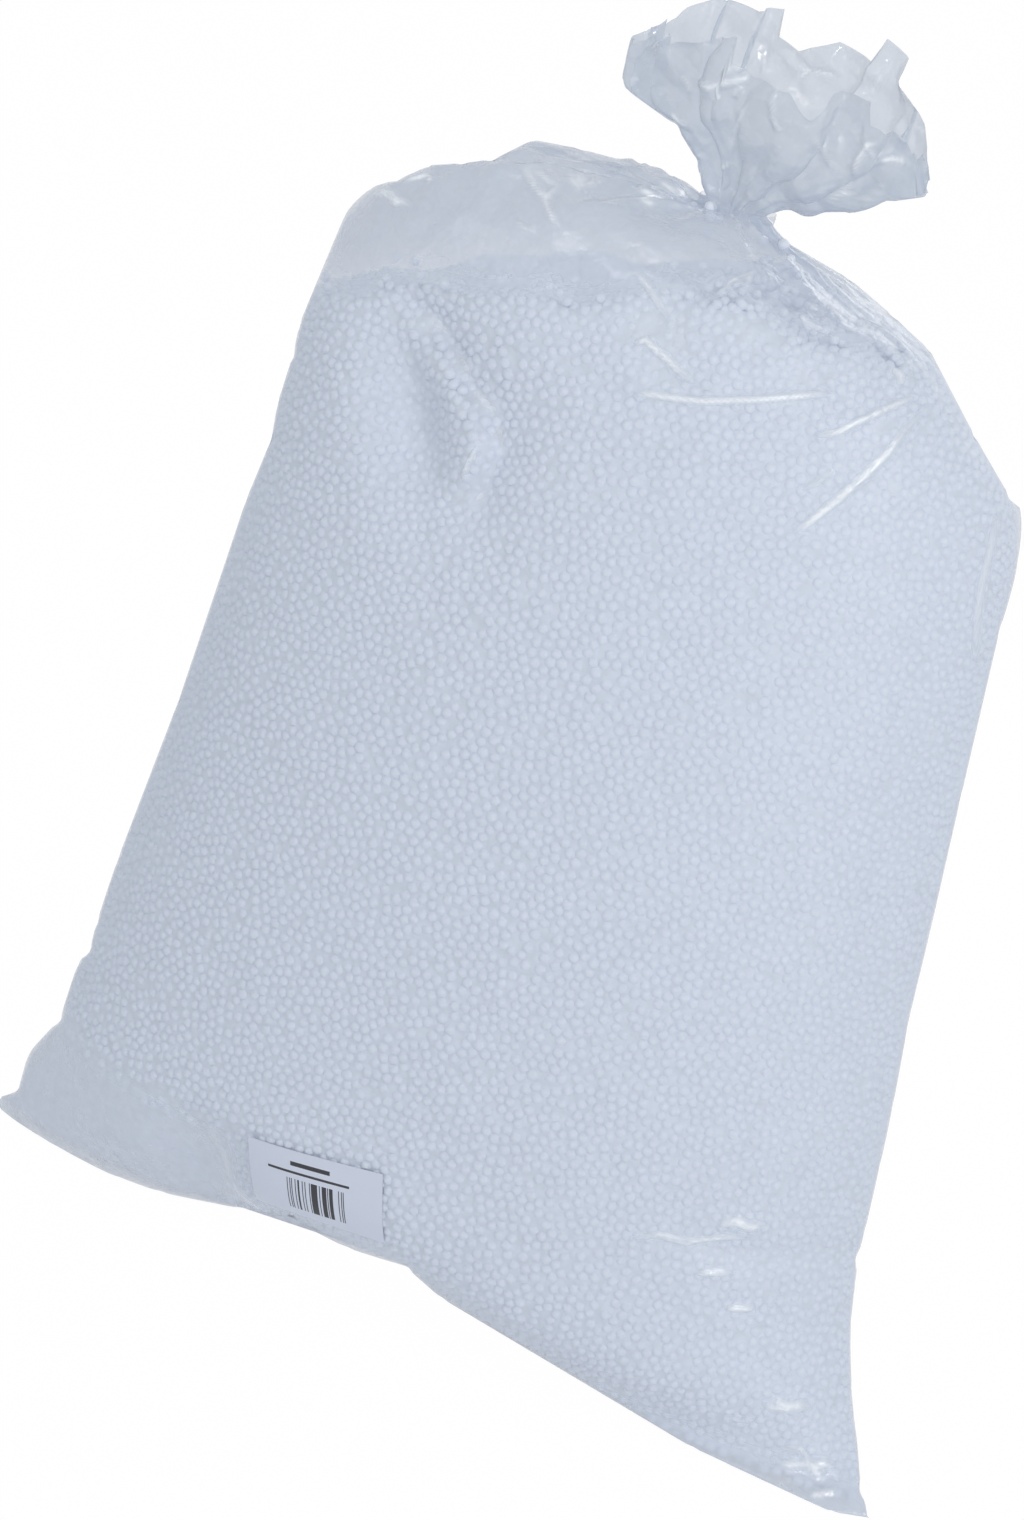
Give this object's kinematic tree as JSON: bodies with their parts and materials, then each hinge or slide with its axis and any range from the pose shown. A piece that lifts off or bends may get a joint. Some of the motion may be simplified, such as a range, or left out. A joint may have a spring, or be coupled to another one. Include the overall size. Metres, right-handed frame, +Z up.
{
  "type": "bag of polystyrene beads",
  "caption": "Clear film bag full of white polystyrene beads, welded flat at the bottom, gathered and tied at the top, with a ruffled tail and a plain paper label.",
  "frame": {"origin": "on the floor, under the middle of the bottom weld, which is the middle of the bounding box", "axes": "+Z up along the bag to its neck and tail, -Y out of the front panel that carries the label, +X to the front's right along the bottom weld"},
  "size_m": [0.52, 0.2318, 0.6903],
  "materials": {
    "film": "thin clear polythene film, slightly milky, glossy along its creases",
    "beads": "white expanded polystyrene beads, matte",
    "label": "smooth white label paper",
    "tie": "clear tape"
  },
  "bodies": {
    "root": {"film_bag": "film", "bead_fill": "beads", "label": "label", "neck_tie": "tie"}
  },
  "joints": []
}
